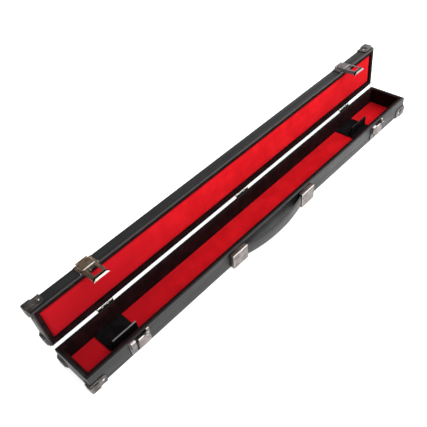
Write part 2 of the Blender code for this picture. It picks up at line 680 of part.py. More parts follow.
def build_base_latch(side, x, carrier):
    """The plate, the keeper block that the hasp closes over, and the sliding bolt with its thumb button."""
    outer = GAP + LATCH_PLATE
    foot = outer + GAP
    low, high = BOLT_Z

    bm = bmesh.new()
    bolt_box(bm, x, (BASE_PLATE_X[0], GAP, BASE_PLATE_Z[0]), (BASE_PLATE_X[1], outer, BASE_PLATE_Z[1]))
    round_edges(bm, lambda middle, edge: abs(edge.verts[0].co.y - edge.verts[1].co.y) > 1e-6, 0.0015, 3)
    plate = make_object(f"latch_{side}_base_plate", bm, "nickel")
    slots = bmesh.new()
    for left, right in (BUTTON_RISER_X, HOOK_RISER_X):
        bolt_box(slots, x, (left - SLIDE_TRAVEL - GAP, -0.001, low - GAP), (right + GAP, outer + 0.001, high + GAP))
    join_shape(plate, slots, "DIFFERENCE")
    lip = bmesh.new()
    bolt_box(lip, x, *BASE_PLATE_LIP)
    join_shape(plate, lip, "UNION")
    rivet(plate, latch_rivet_places("base", [x]), GAP + LATCH_PLATE)

    bm = bmesh.new()
    section = [(-KEEPER_FOOT_HALF, foot), (-KEEPER_TOP_HALF, KEEPER_PROUD), (KEEPER_TOP_HALF, KEEPER_PROUD),
               (KEEPER_FOOT_HALF, foot)]
    add_prism(bm, [(x + u, proud(v)) for u, v in section], "Z", BASE_HEIGHT + KEEPER_Z[0], BASE_HEIGHT + KEEPER_Z[1])
    keeper_front = proud(KEEPER_PROUD)
    round_edges(bm, lambda middle, edge: abs(middle.y - keeper_front) < 1e-6, 0.0007)
    make_object(f"latch_{side}_keeper", bm, "nickel")

    bm = bmesh.new()
    bolt_box(bm, x, (BUTTON_RISER_X[0], BOLT_DEPTH[0], low), (HOOK_RISER_X[1], BOLT_DEPTH[1], high))
    bolt = make_object(f"latch_{side}_slide", bm, "nickel", carrier)
    inside = (BOLT_DEPTH[0] + BOLT_DEPTH[1]) / 2
    for piece in (((BUTTON_RISER_X[0], inside, low), (BUTTON_RISER_X[1], foot + 0.0005, high)),
                  ((HOOK_RISER_X[0], inside, low), (HOOK_RISER_X[1], HOOK_DEPTH[1], high)),
                  ((HOOK_RISER_X[0], HOOK_DEPTH[0], low), (HOOK_END, HOOK_DEPTH[1], high))):
        part = bmesh.new()
        bolt_box(part, x, *piece)
        join_shape(bolt, part, "UNION")
    button = bmesh.new()
    bolt_box(button, x, (BUTTON_X[0], foot, BUTTON_Z[0]), (BUTTON_X[1], BUTTON_PROUD, BUTTON_Z[1]))
    front = proud(BUTTON_PROUD)
    round_edges(button, lambda middle, edge: abs(middle.y - front) < 1e-6, 0.0010)
    join_shape(bolt, button, "UNION")


# ---- handle ----
def build_bracket(side, sign):
    """A sheet box open to the wall and to the strap, with a lip at its mouth and prongs into the wall."""
    def span(first, second):
        return sorted((HANDLE_X + sign * first, HANDLE_X + sign * second))

    left, right = span(BRACKET_INNER, BRACKET_OUTER)
    front = proud(BRACKET_DEPTH)
    bm = bmesh.new()
    add_box(bm, (left, front, BRACKET_BOTTOM), (right, proud(GAP), BRACKET_TOP))
    round_edges(bm, lambda middle, edge: abs(middle.y - front) < 1e-6, 0.0010)
    bracket = make_object(f"handle_bracket_{side}", bm, "nickel")
    hollow = bmesh.new()
    left, right = span(BRACKET_INNER + BRACKET_SHEET, BRACKET_OUTER - BRACKET_SHEET)
    add_box(hollow, (left, proud(BRACKET_DEPTH - BRACKET_SHEET), BRACKET_BOTTOM + BRACKET_SHEET),
            (right, proud(-0.001), BRACKET_TOP - BRACKET_SHEET))
    join_shape(bracket, hollow, "DIFFERENCE")
    mouth = bmesh.new()
    left, right = span(BRACKET_INNER - 0.001, BRACKET_INNER + BRACKET_SHEET + 0.0005)
    lip_from = STRAP_PROUD + STRAP_THICKNESS / 2 + 0.0006
    add_box(mouth, (left, proud(lip_from), BRACKET_BOTTOM + BRACKET_SHEET + 0.0004),
            (right, proud(-0.001), BRACKET_TOP - BRACKET_SHEET - 0.0004))
    join_shape(bracket, mouth, "DIFFERENCE")
    prongs = bmesh.new()
    for low, high in prong_spans(sign, 0.0):
        add_box(prongs, (low.x, low.y - 0.0012, low.z), high)
    join_shape(bracket, prongs, "UNION")


def build_strap():
    """The bowed strap: flat in the brackets, bowed between them, with thicker ends that the lips hold."""
    reach = BRACKET_OUTER - 0.0060
    end_block = 0.0050
    steps = 22

    def bow(x):
        share = min(1.0, abs(x) / BRACKET_INNER)
        return STRAP_PROUD + STRAP_BOW * (1 - share ** 2.2)

    places = [-BRACKET_INNER + 2 * BRACKET_INNER * i / steps for i in range(steps + 1)]
    outer = [(x, bow(x) + STRAP_THICKNESS / 2) for x in places]
    inner = [(x, bow(x) - STRAP_THICKNESS / 2) for x in places]
    thick, thin = 0.0075, 0.0012
    flat_out, flat_in = STRAP_PROUD + STRAP_THICKNESS / 2, STRAP_PROUD - STRAP_THICKNESS / 2
    step_in = reach - end_block
    right_end = [(step_in, flat_out), (step_in, thick), (reach, thick), (reach, thin), (step_in, thin), (step_in, flat_in)]
    left_end = [(-step_in, flat_in), (-step_in, thin), (-reach, thin), (-reach, thick), (-step_in, thick),
                (-step_in, flat_out)]
    outline = outer + right_end + list(reversed(inner)) + left_end
    bm = bmesh.new()
    add_prism(bm, [(HANDLE_X + x, proud(v)) for x, v in outline], "Z", STRAP_BOTTOM, STRAP_TOP)
    make_object("handle_strap", bm, "strap", None, True)


# ---- the whole case ----
def build_case():
    lid_axis = make_carrier("lid_axis", HINGE_AXIS)

    build_boards("base", BOARD_BOTTOM, BASE_HEIGHT, None)
    build_panel("base_bottom_board", BOARD_BOTTOM, PANEL_TOP, "cover")
    build_panel("base_floor_felt", PANEL_TOP + GAP, FELT_TOP, "felt")
    build_lining("base_wall_lining", FELT_TOP + GAP, BASE_HEIGHT - LINING_DROP)
    for side in REST_PLACES:
        build_rest(side)

    build_boards("lid", LID_RIM, LID_TOP, lid_axis)
    build_panel("lid_top_board", LID_TOP - PANEL, LID_TOP, "cover", lid_axis)
    build_panel("lid_foam_pad", LID_RIM + PAD_RECESS, LID_TOP - PANEL - GAP, "felt", lid_axis,
                LINING + GAP, 0.0010)
    build_lining("lid_wall_lining", LID_RIM + LINING_DROP, LID_TOP - PANEL - GAP, lid_axis)

    for side in HINGE_PLACES:
        build_hinge(side, lid_axis)
    for sx in (-1, 1):
        for sy in (-1, 1):
            build_cap("base", sx, sy, None)
            build_cap("lid", sx, sy, lid_axis)

    for side, x in LATCH_PLACES.items():
        build_lid_plate(side, x, lid_axis)
        pivot = Vector((x, proud(HASP_PIVOT_PROUD), LID_RIM + HASP_PIVOT_RISE))
        build_hasp(side, x, make_carrier(f"hasp_{side}_axis", pivot, lid_axis))
        rest_of_slide = Vector((x, FRONT_FACE, BASE_HEIGHT + sum(BOLT_Z) / 2))
        build_base_latch(side, x, make_carrier(f"slide_{side}_axis", rest_of_slide))

    build_bracket("left", -1)
    build_bracket("right", 1)
    build_strap()

    lid_axis.rotation_euler = (-LID_OPEN_ANGLE, 0, 0)


for old in list(bpy.data.objects):
    bpy.data.objects.remove(old, do_unlink=True)
build_case()
bpy.context.view_layer.update()
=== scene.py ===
"""Looks of the cue case: covered boards, felt linings, plated fittings and a padded strap.

Sizes are metres, in the frame's own axes. Lid pieces are built in the closed position and then
turned open.
"""
import json
import math

import bmesh
import bpy
import numpy as np
from mathutils import Matrix, Vector, noise

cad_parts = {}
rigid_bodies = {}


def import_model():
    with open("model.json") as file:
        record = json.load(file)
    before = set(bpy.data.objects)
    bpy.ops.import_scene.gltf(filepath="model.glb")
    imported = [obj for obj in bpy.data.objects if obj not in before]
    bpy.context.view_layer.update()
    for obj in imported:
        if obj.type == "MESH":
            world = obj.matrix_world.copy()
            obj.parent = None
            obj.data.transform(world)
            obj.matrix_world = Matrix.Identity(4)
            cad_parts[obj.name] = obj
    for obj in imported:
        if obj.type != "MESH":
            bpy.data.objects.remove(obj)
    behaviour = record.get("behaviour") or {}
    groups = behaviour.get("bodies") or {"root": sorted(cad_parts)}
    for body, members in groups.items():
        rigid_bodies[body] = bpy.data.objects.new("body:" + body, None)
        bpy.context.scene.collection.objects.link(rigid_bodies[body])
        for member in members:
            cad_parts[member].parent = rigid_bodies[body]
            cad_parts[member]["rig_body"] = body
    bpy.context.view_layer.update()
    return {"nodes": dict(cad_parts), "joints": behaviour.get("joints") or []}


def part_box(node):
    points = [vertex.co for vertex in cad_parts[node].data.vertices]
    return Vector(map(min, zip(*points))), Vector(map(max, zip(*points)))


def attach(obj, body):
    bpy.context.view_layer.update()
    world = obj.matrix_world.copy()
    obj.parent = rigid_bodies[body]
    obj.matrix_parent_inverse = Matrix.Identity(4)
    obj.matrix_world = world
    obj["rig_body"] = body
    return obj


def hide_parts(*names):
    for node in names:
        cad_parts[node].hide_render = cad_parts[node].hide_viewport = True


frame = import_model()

NODES = frame["nodes"]
JOINTS = {joint["name"]: joint for joint in frame["joints"]}
HINGE = Vector(JOINTS["lid_hinge"]["pos_m"])
LID_ANGLE = math.radians(JOINTS["lid_hinge"]["range_deg"][1])
OPEN_LID = (Matrix.Translation(HINGE) @ Matrix.Rotation(-LID_ANGLE, 4, "X")
            @ Matrix.Translation(-HINGE))
CLOSE_LID = OPEN_LID.inverted()

# ---- the camera: above the left front corner, looking down along the case ----
CAMERA_PLACE = Vector((-0.49623, -0.43895, 0.65235))
CAMERA_FORWARD = Vector((0.42015, 0.49617, -0.75979))
CAMERA_UP = Vector((0.60278, 0.47328, 0.64239))
CAMERA_LENS = 43.849
CAMERA_SHIFT = 0.1241
CAMERA_SENSOR = 36.0
CAMERA_CLIP = (0.01, 50.0)

# ---- light: the sky is bright to the right and front and dim to the left ----
SKY_BRIGHT_SIDE = (0.86, -0.42, -0.05)
SKY_DIM = 0.16
SKY_BRIGHT = 0.95
SKY_SPAN = (-0.6, 0.9)
FLOOR_HALF = 12.0
FLOOR_DROP = 0.0002
FLOOR_GLOW = 0.78
LIGHTS = (
    ("key", (0.45, -1.6, 2.5), (0.15, 0.0, 0.05), (1.4, 1.4), 28.0),
    ("right", (1.5, -0.7, 1.5), (0.40, 0.0, 0.03), (1.0, 1.0), 16.0),
)

# ---- the flocked strip, turned over the rim ----
LINING_THICK = 0.0012
TURN_WIDTH = {"base": 0.0036, "lid": 0.0050}
TURN_THICK = 0.00014
TURN_CLEAR = 0.00002
TURN_ROUND = 0.0006

LINING_STEP = 0.004
LINING_ROWS = 8
LINING_BACK_ROWS = 3
LINING_RAGGED = 0.12

# ---- the lid pad and its cloth simulation ----
PAD_INSET = 0.0007
PAD_STEPS = (0.0045, 0.0042, 0.0045)
PAD_TUCK = 0.0016
PAD_TUCK_REACH = 0.0020
PAD_WAVES = ((0.00035, 21.0, 8.0), (0.00012, 90.0, 5.0))
SWELL_FRAMES = 12
SWELL_CAP = 0.0014
SWELL_PRESSURE = 3.0
SWELL_STIFF = 25.0
SWELL_BEND = 4.0

# ---- the floor felt ----
FELT_STEPS = (0.004, 0.0022, 0.001)
FELT_TURNED_UP = 0.0006
FELT_TURN_REACH = 0.0016
FELT_WAVE = 0.00022

# ---- the rests ----
SLOT_ROOM = 0.0003
REST_STEPS = (0.0016, 0.0016, 0.0007)
REST_WAVE = 0.0002
REST_EDGE_DROP = 0.0009
REST_EDGE_REACH = 0.0008

# ---- the nails ----
NAIL_RADIUS = 0.0020
NAIL_HEAD = 0.0008
NAIL_SHANK = 0.0007
NAIL_LENGTH = 0.0050
NAIL_TAPER = 0.0042

# ---- the strap and its stitches ----
STRAP_THICK = 0.0030
STRAP_STATIONS = 96
STRAP_ROUND = 28
STRAP_CROWN = 0.0009
STRAP_CROWN_HELD = 0.0004
STRAP_MARGIN_FROM = 0.72
STRAP_MARGIN_THIN = 0.86
STRAP_WAVE = 0.00012
SLOPE_STEP = 0.002
STITCH_PITCH = 0.0036
STITCH_END = 0.004
STITCH_INSET = 0.0028
STITCH_SINK = 0.92
STITCH_PROFILE = ((0, -0.0013), (0.00025, -0.0011), (0.00032, 0.0), (0.00025, 0.0011), (0, 0.0013))

# ---- edge rounding of the CAD pieces ----
WELD_REACH = 0.00001
BEVEL_ANGLE = math.radians(30)
SHARP_CAD = math.radians(28)
SHARP_MADE = math.radians(40)
BOARD_ROUND = 0.0004
PLATE_ROUND = 0.00018
CAP_ROUND = 0.00025
BRACKET_ROUND = 0.0003
DIVIDER_ROUND = 0.0005

# ---- relief of the surfaces ----
LEATHER_RELIEF = 0.00022
FELT_RELIEF = 0.0004
CLOTH_RELIEF = 0.00025
PLATE_RELIEF = 0.00012
STRAP_RELIEF = 0.0003
THREAD_RELIEF = 0.0001

# ---- grain, in cycles per metre ----
LEATHER_PEBBLE = 620.0
LEATHER_FINE = 2400.0
LEATHER_CLOUD = 23.0
SCUFF_GRAIN = 95.0
RIM_LINE_BREAKUP = 60.0
FIBRE_ALONG = 520.0
FIBRE_ACROSS = 610.0
FELT_MOTTLE = 38.0
WEAVE = 9000.0
CLOTH_FUZZ = 900.0
CLOTH_CLOUD = 60.0
TOP_HIGHLIGHT_BREAKUP = 160.0
BRUSHING = 420.0
TARNISH = 120.0
SPOTS = 700.0
POLISH = 140.0
STRAP_CREASES = 210.0
STRAP_PEBBLE = 900.0
STRAP_CLOUD = 55.0
THREAD_TWIST = 1600.0

# ---- colours, linear ----
LEATHER_DARK = (0.0055, 0.0053, 0.0055)
LEATHER_LIGHT = (0.0130, 0.0125, 0.0130)
# Pale tone of the scuffed edges and of the line along the rim.
LEATHER_PALE = (0.090, 0.086, 0.082)
LEATHER_PIT = (0.003, 0.003, 0.003)
BOARD_SHADE = 0.9
RIM_LINE_SHARE = 0.55
RED = (0.80, 0.010, 0.017)
RED_DEEP = (0.66, 0.006, 0.012)
RED_TUFT = (0.86, 0.022, 0.030)
RED_HOLLOW = (0.46, 0.003, 0.008)
# Painted shade of the felt where it meets the walls.
RED_WALL_SHADE = (0.40, 0.003, 0.007)
RED_SHEEN = (1.0, 0.05, 0.05)
BLACK_CLOTH = (0.0035, 0.0032, 0.0035)
BLACK_CLOTH_LIGHT = (0.0090, 0.0080, 0.0085)
# Painted shade on the felt: the span along X over which it fades, and its darkest tone.
FELT_SHADED = (-0.42, -0.05)
FELT_LEFT_SHADE = (0.49, 0.007, 0.014)
# Painted highlight along each divider's top edge: pale on the left, near black on the right.
DIVIDER_TOP_HIGHLIGHT = {"left": (0.26, 0.26, 0.27), "right": (0.035, 0.034, 0.035)}
FLOCK = (0.0100, 0.0030, 0.0036)
FLOCK_LIGHT = (0.0230, 0.0060, 0.0070)
# The left caps are painted darker and the right ones lighter: painted shade and light on one plating.
CAP_LEFT_SHADED = ((0.17, 0.155, 0.145), (0.08, 0.072, 0.066), (0.48, 0.46, 0.44))
CAP_RIGHT_LIT = ((0.26, 0.24, 0.23), (0.14, 0.128, 0.12), (0.55, 0.53, 0.51))
BRACKET = ((0.29, 0.262, 0.248), (0.21, 0.186, 0.172), (0.74, 0.71, 0.69))
HINGE_PLATE = ((0.035, 0.032, 0.031), (0.015, 0.014, 0.013), (0.30, 0.29, 0.28))
# The left hasp and latch are painted browner, the right greyer: painted reflection.
HASP_LEFT_REFLECTED = ((0.32, 0.225, 0.160), (0.180, 0.125, 0.088), (0.98, 0.96, 0.88))
HASP_RIGHT_REFLECTED = ((0.36, 0.32, 0.32), (0.22, 0.195, 0.195), (0.50, 0.48, 0.47))
BLOCK = ((0.33, 0.285, 0.275), (0.21, 0.18, 0.17), (0.90, 0.86, 0.84))
BASE_PLATE = ((0.21, 0.195, 0.19), (0.12, 0.108, 0.104), (0.88, 0.84, 0.82))
NAIL = ((0.60, 0.58, 0.56), (0.36, 0.33, 0.31), (0.88, 0.86, 0.84))
# A near-black patch: painted shade in the base plate's recess, and a band on the hasp.
NEAR_BLACK = (0.012, 0.009, 0.009)
# Painted shade on the bracket's top and flanks.
BRACKET_TOP_SHADE = (0.17, 0.135, 0.12)
BRACKET_SIDE_SHADE = (0.20, 0.165, 0.145)
HINGE_BARREL = (0.62, 0.60, 0.58)
BARREL_EDGE = (0.0021, 0.0018)
# How much a painted highlight is made non-metal.
HIGHLIGHT_METAL_CUT = 0.6
STRAP_DARK = (0.010, 0.010, 0.010)
STRAP_LIGHT = (0.022, 0.021, 0.022)
STRAP_CREASED = (0.045, 0.044, 0.043)
THREAD_DARK = (0.012, 0.012, 0.012)
THREAD_LIGHT = (0.09, 0.088, 0.086)
FLOOR_WHITE = (0.93, 0.93, 0.93)

# ---- places on the latches and brackets, where highlights and shade are painted ----
BAR_RISE = 0.0281
BAR_SPAN = (0.0004, 0.0020)
BAR_FRONT = -0.0443
LIP_TOP = 0.0013
LIP_BAND = (0.0017, 0.0046)
PLATE_RIGHT = 0.0135
RECESS_SIDE = (0.0148, 0.0108)
RECESS_RIGHT = 0.0076
RECESS_DROP = 0.0046
PLATE_EDGE = (0.0082, 0.0013)
KEEPER_EDGE = (0.0014, 0.0012)
BUTTON_TOP = 0.0015
BRACKET_TOP_FROM = (0.0012, 0.0003)
BRACKET_LINE = (0.0013, 0.0013)
BRACKET_SIDE_FROM = (0.0010, 0.0010)


# ---- a small writer for node materials ----
class Graph:
    """One node material, its nodes added one after another."""

    def __init__(self, name):
        self.made = bpy.data.materials.new(name)
        self.made.use_nodes = True
        self.tree = self.made.node_tree
        self.shader = self.tree.nodes["Principled BSDF"]
        self.count = 0

    def put(self, socket, value):
        if isinstance(value, bpy.types.NodeSocket):
            self.tree.links.new(value, socket)
        elif isinstance(value, (tuple, list)) and socket.type == "RGBA":
            socket.default_value = (*value[:3], 1.0)
        else:
            socket.default_value = value

    def add(self, kind, inputs=None, **settings):
        node = self.tree.nodes.new(kind)
        self.count += 1
        node.location = (-220 * (1 + self.count // 6), 260 - 160 * (self.count % 6))
        for key, value in settings.items():
            setattr(node, key, value)
        for key, value in (inputs or {}).items():
            self.put(node.inputs[key], value)
        return node

    def math(self, operation, first, second=0.0, clamp=False):
        node = self.add("ShaderNodeMath", {0: first, 1: second}, operation=operation, use_clamp=clamp)
        return node.outputs[0]

    def ramp(self, value, low, high, to_low=0.0, to_high=1.0):
        return self.add("ShaderNodeMapRange", {0: value, 1: low, 2: high, 3: to_low, 4: to_high},
                        interpolation_type="SMOOTHSTEP").outputs[0]

    def blend(self, share, first, second):
        node = self.add("ShaderNodeMix", {0: share, 6: first, 7: second}, data_type="RGBA")
        return node.outputs[2]

    def noise(self, place, scale, detail=3.0, roughness=0.55):
        return self.add("ShaderNodeTexNoise", {"Vector": place, "Scale": scale, "Detail": detail,
                                               "Roughness": roughness}).outputs["Fac"]

    def place(self, lid=False, stretch=None):
        """The point on the object, turned back to the closed position for a lid piece."""
        point = self.add("ShaderNodeTexCoord").outputs["Object"]
        if lid:
            turn = {"Vector": point, "Center": HINGE, "Angle": LID_ANGLE}
            point = self.add("ShaderNodeVectorRotate", turn, rotation_type="X_AXIS").outputs[0]
        if stretch:
            point = self.add("ShaderNodeMapping", {"Vector": point, "Scale": stretch}).outputs[0]
        return point

    def edge_distance(self, point, low, high):
        """How far a point on a box is from the box's nearest edge: the middle one of three depths."""
        axes = self.add("ShaderNodeSeparateXYZ", {0: point}).outputs
        depths = []
        for axis in range(3):
            near = self.math("SUBTRACT", axes[axis], low[axis])
            far = self.math("SUBTRACT", high[axis], axes[axis])
            depths.append(self.math("MINIMUM", near, far))
        a, b, c = depths
        inner = self.math("MINIMUM", self.math("MAXIMUM", a, b), c)
        return self.math("MAXIMUM", self.math("MINIMUM", a, b), inner)

    def zone(self, axes, low, high, soft=0.00025):
        """One inside a box and zero outside it. A corner's None is no limit on that side."""
        depths = [self.math("SUBTRACT", axes[i], low[i]) for i in range(3) if low[i] is not None]
        depths += [self.math("SUBTRACT", high[i], axes[i]) for i in range(3) if high[i] is not None]
        inner = depths[0]
        for depth in depths[1:]:
            inner = self.math("MINIMUM", inner, depth)
        return self.ramp(inner, -soft, soft)

    def bump(self, height, distance, strength=1.0):
        inputs = {"Height": height, "Distance": distance, "Strength": strength}
        return self.add("ShaderNodeBump", inputs).outputs[0]

    def finish(self, **values):
        for key, value in values.items():
            self.put(self.shader.inputs[key.replace("_", " ")], value)
        return self.made


def closed_box(name, lid):
    """A node's box in the closed position."""
    turn = CLOSE_LID if lid else Matrix.Identity(4)
    points = np.array([turn @ vert.co for vert in NODES[name].data.vertices])
    return points.min(0), points.max(0)


def leathercloth(name, lid, box, rim=None, light=1.0):
    """Black grained vinyl cloth over board: pebbled, semi-matt, paler along the rim's outer edge.

    The rim is given as (axis across the wall, place of the outer face, height of the rim).
    """
    g = Graph(name)
    point = g.place(lid)
    pebble = g.add("ShaderNodeTexVoronoi", {"Vector": point, "Scale": LEATHER_PEBBLE, "Randomness": 0.9},
                   feature="SMOOTH_F1").outputs["Distance"]
    fine = g.noise(point, LEATHER_FINE, 2.0)
    broad = g.noise(point, LEATHER_CLOUD, 4.0)
    height = g.math("ADD", g.math("MULTIPLY", pebble, 0.8), g.math("MULTIPLY", fine, 0.35))
    tone = g.blend(g.ramp(broad, 0.35, 0.68), tuple(v * light for v in LEATHER_DARK),
                   tuple(v * light for v in LEATHER_LIGHT))
    tone = g.blend(g.math("MULTIPLY", g.ramp(pebble, 0.55, 0.15), 0.25), tone, LEATHER_PIT)
    # Handling scuffs the box's edges a little everywhere.
    scuffed = g.math("MULTIPLY", g.ramp(g.edge_distance(point, *box), 0.0010, 0.0002),
                     g.ramp(g.noise(point, SCUFF_GRAIN), 0.50, 0.70), True)
    tone = g.blend(g.math("MULTIPLY", scuffed, 0.35), tone, LEATHER_PALE)
    if rim is not None:
        axis, outer, level = rim
        axes = g.add("ShaderNodeSeparateXYZ", {0: point}).outputs
        across = g.math("ABSOLUTE", g.math("SUBTRACT", axes[axis], outer))
        up = g.math("ABSOLUTE", g.math("SUBTRACT", axes[2], level))
        # Paler in a broken line along the rim's outer edge.
        pale_line = g.math("MULTIPLY", g.ramp(g.math("MAXIMUM", across, up), 0.0012, 0.0006),
                        g.ramp(g.noise(point, RIM_LINE_BREAKUP), 0.25, 0.50, 0.35, 1.0), True)
        tone = g.blend(g.math("MULTIPLY", pale_line, RIM_LINE_SHARE), tone, LEATHER_PALE)
    rough = g.math("ADD", g.ramp(broad, 0.3, 0.7, 0.36, 0.48), g.math("MULTIPLY", pebble, 0.08))
    return g.finish(Base_Color=tone, Roughness=rough, Normal=g.bump(height, LEATHER_RELIEF, 0.7),
                    Specular_IOR_Level=0.5)


def felt(name, lid=False, box=None):
    """Bright red pressed felt: matted fibres, mottling, and painted shade that darkens it at the walls
    and to the left.
    """
    g = Graph(name)
    point = g.place(lid)
    long_fibre = g.noise(g.place(lid, (1.0, 3.2, 2.0)), FIBRE_ALONG, 5.0, 0.7)
    cross_fibre = g.noise(g.place(lid, (3.0, 1.0, 2.0)), FIBRE_ACROSS, 5.0, 0.7)
    tufts = g.math("MAXIMUM", long_fibre, cross_fibre)
    mottle = g.noise(point, FELT_MOTTLE, 4.0)
    tone = g.blend(g.ramp(mottle, 0.32, 0.70), RED_DEEP, RED)
    tone = g.blend(g.math("MULTIPLY", g.ramp(tufts, 0.52, 0.78), 0.30), tone, RED_TUFT)
    tone = g.blend(g.math("MULTIPLY", g.ramp(tufts, 0.55, 0.36), 0.35), tone, RED_HOLLOW)
    # Painted shade: the felt is darkened within a few millimetres of the walls.
    if box is not None:
        edge = g.edge_distance(point, *box)
        tone = g.blend(g.ramp(edge, 0.0030, 0.0, 0.0, 0.35), tone, RED_WALL_SHADE)
    # Painted shade: the felt darkens towards the left end, where less light falls.
    along = g.add("ShaderNodeSeparateXYZ", {0: point}).outputs[0]
    tone = g.blend(g.ramp(along, *FELT_SHADED, 1.0, 0.0), tone, FELT_LEFT_SHADE)
    height = g.math("ADD", tufts, g.math("MULTIPLY", mottle, 0.6))
    return g.finish(Base_Color=tone, Roughness=0.95, Normal=g.bump(height, FELT_RELIEF, 0.55),
                    Specular_IOR_Level=0.06, Sheen_Weight=0.12, Sheen_Roughness=0.6,
                    Sheen_Tint=RED_SHEEN)


def black_cloth(name, lid=False, top=None, top_highlight=None, tones=(BLACK_CLOTH, BLACK_CLOTH_LIGHT)):
    """Black flocked cloth with a fine weave. Given a top height, its edge there is painted with a
    highlight colour.
    """
    g = Graph(name)
    point = g.place(lid)
    axes = g.add("ShaderNodeSeparateXYZ", {0: point}).outputs
    warp = g.math("SINE", g.math("MULTIPLY", g.math("ADD", axes[0], axes[1]), WEAVE))
    weft = g.math("SINE", g.math("MULTIPLY", g.math("SUBTRACT", axes[2], axes[1]), WEAVE))
    weave = g.math("MULTIPLY", warp, weft)
    fuzz = g.noise(point, CLOTH_FUZZ, 4.0, 0.7)
    tone = g.blend(g.ramp(g.noise(point, CLOTH_CLOUD), 0.35, 0.7), *tones)
    lifted = tuple(v * 2.0 for v in tones[1])
    tone = g.blend(g.math("MULTIPLY", g.ramp(fuzz, 0.55, 0.75), 0.35), tone, lifted)
    if top is not None:
        # Painted highlight: a broken line of the given colour along the top edge.
        pale_line = g.math("MULTIPLY", g.ramp(axes[2], top - 0.0008, top - 0.0002),
                        g.ramp(g.noise(point, TOP_HIGHLIGHT_BREAKUP), 0.30, 0.50), True)
        tone = g.blend(pale_line, tone, top_highlight)
    height = g.math("ADD", g.math("MULTIPLY", weave, 0.25), fuzz)
    return g.finish(Base_Color=tone, Roughness=0.9, Normal=g.bump(height, CLOTH_RELIEF, 0.6),
                    Specular_IOR_Level=0.08)


def plated(name, lid, box, tones, rough=0.34, brushed=(1.0, 14.0, 1.0), wear=0.9, zones=(),
           barrel=False):
    """Plated sheet metal: faint brushing, cloudy tarnish, and edges polished by handling.

    Each zone is (lowest corner, highest corner, colour): a painted highlight in the bright tone, which
    is then less of a mirror, or a near-black patch that is painted shade on the base plate.
    """
    main, dark, bright = tones
    g = Graph(name)
    point = g.place(lid)
    axes = g.add("ShaderNodeSeparateXYZ", {0: point}).outputs
    streaks = g.noise(g.place(lid, brushed), BRUSHING, 4.0, 0.65)
    cloud = g.noise(point, TARNISH, 4.0)
    spots = g.noise(point, SPOTS, 2.0)
    edge = g.edge_distance(point, *box)
    polished = g.math("MULTIPLY", g.ramp(edge, 0.0012, 0.0005),
                      g.ramp(g.noise(point, POLISH), 0.22, 0.45, 0.4, 1.0), True)
    tone = g.blend(g.ramp(cloud, 0.34, 0.66), dark, main)
    stained = tuple(v * 0.35 for v in dark)
    tone = g.blend(g.math("MULTIPLY", g.ramp(spots, 0.66, 0.78), 0.5), tone, stained)
    tone = g.blend(g.math("MULTIPLY", polished, wear), tone, bright)
    if barrel:
        back = g.math("POWER", g.math("SUBTRACT", axes[1], HINGE.y), 2.0)
        rise = g.math("POWER", g.math("SUBTRACT", axes[2], HINGE.z), 2.0)
        radial = g.math("SQRT", g.math("ADD", back, rise))
        tone = g.blend(g.ramp(radial, *BARREL_EDGE), tone, HINGE_BARREL)
    metal = 1.0
    for low, high, colour in zones:
        share = g.zone(axes, low, high)
        tone = g.blend(share, tone, colour)
        # A painted highlight is made partly non-metal, so its colour shows as a bright line.
        if colour == bright:
            metal = g.math("SUBTRACT", metal, g.math("MULTIPLY", share, HIGHLIGHT_METAL_CUT))
    shine = g.math("ADD", g.ramp(cloud, 0.3, 0.7, rough + 0.10, rough), g.math("MULTIPLY", streaks, 0.10))
    shine = g.math("SUBTRACT", shine, g.math("MULTIPLY", polished, 0.08))
    height = g.math("ADD", g.math("MULTIPLY", streaks, 0.5), g.math("MULTIPLY", cloud, 0.5))
    return g.finish(Base_Color=tone, Metallic=metal, Roughness=shine,
                    Normal=g.bump(height, PLATE_RELIEF, 0.35))


def strap_leather(name):
    """Black leathercloth of the strap: fine creases across it, soft gloss."""
    g = Graph(name)
    point = g.place()
    creases = g.noise(g.place(stretch=(6.0, 1.0, 1.0)), STRAP_CREASES, 5.0, 0.6)
    pebble = g.add("ShaderNodeTexVoronoi", {"Vector": point, "Scale": STRAP_PEBBLE},
                   feature="SMOOTH_F1").outputs["Distance"]
    cloud = g.noise(point, STRAP_CLOUD)
    tone = g.blend(g.ramp(cloud, 0.35, 0.7), STRAP_DARK, STRAP_LIGHT)
    tone = g.blend(g.math("MULTIPLY", g.ramp(creases, 0.60, 0.72), 0.4), tone, STRAP_CREASED)
    height = g.math("ADD", g.math("MULTIPLY", creases, 0.6), g.math("MULTIPLY", pebble, 0.5))
    return g.finish(Base_Color=tone, Roughness=g.ramp(cloud, 0.3, 0.7, 0.34, 0.46),
                    Normal=g.bump(height, STRAP_RELIEF, 0.6), Specular_IOR_Level=0.5)


def thread(name):
    """Waxed black thread, twisted."""
    g = Graph(name)
    twist = g.noise(g.place(stretch=(5.0, 1.0, 1.0)), THREAD_TWIST, 3.0)
    tone = g.blend(g.ramp(twist, 0.4, 0.6), THREAD_DARK, THREAD_LIGHT)
    return g.finish(Base_Color=tone, Roughness=0.6, Normal=g.bump(twist, THREAD_RELIEF, 0.8))


# ---- mesh helpers ----
def make_piece(name, bm, material, body, lid=False, replaces=()):
    """A finished mesh as a piece that rides on a body."""
    bmesh.ops.recalc_face_normals(bm, faces=bm.faces)
    mesh = bpy.data.meshes.new(name)
    bm.to_mesh(mesh)
    bm.free()
    if lid:
        mesh.transform(OPEN_LID)
    made = bpy.data.objects.new(name, mesh)
    bpy.context.scene.collection.objects.link(made)
    mesh.materials.append(material)
    mesh.shade_smooth()
    mesh.set_sharp_from_angle(angle=SHARP_MADE)
    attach(made, body)
    if replaces:
        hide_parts(*replaces)
    return made


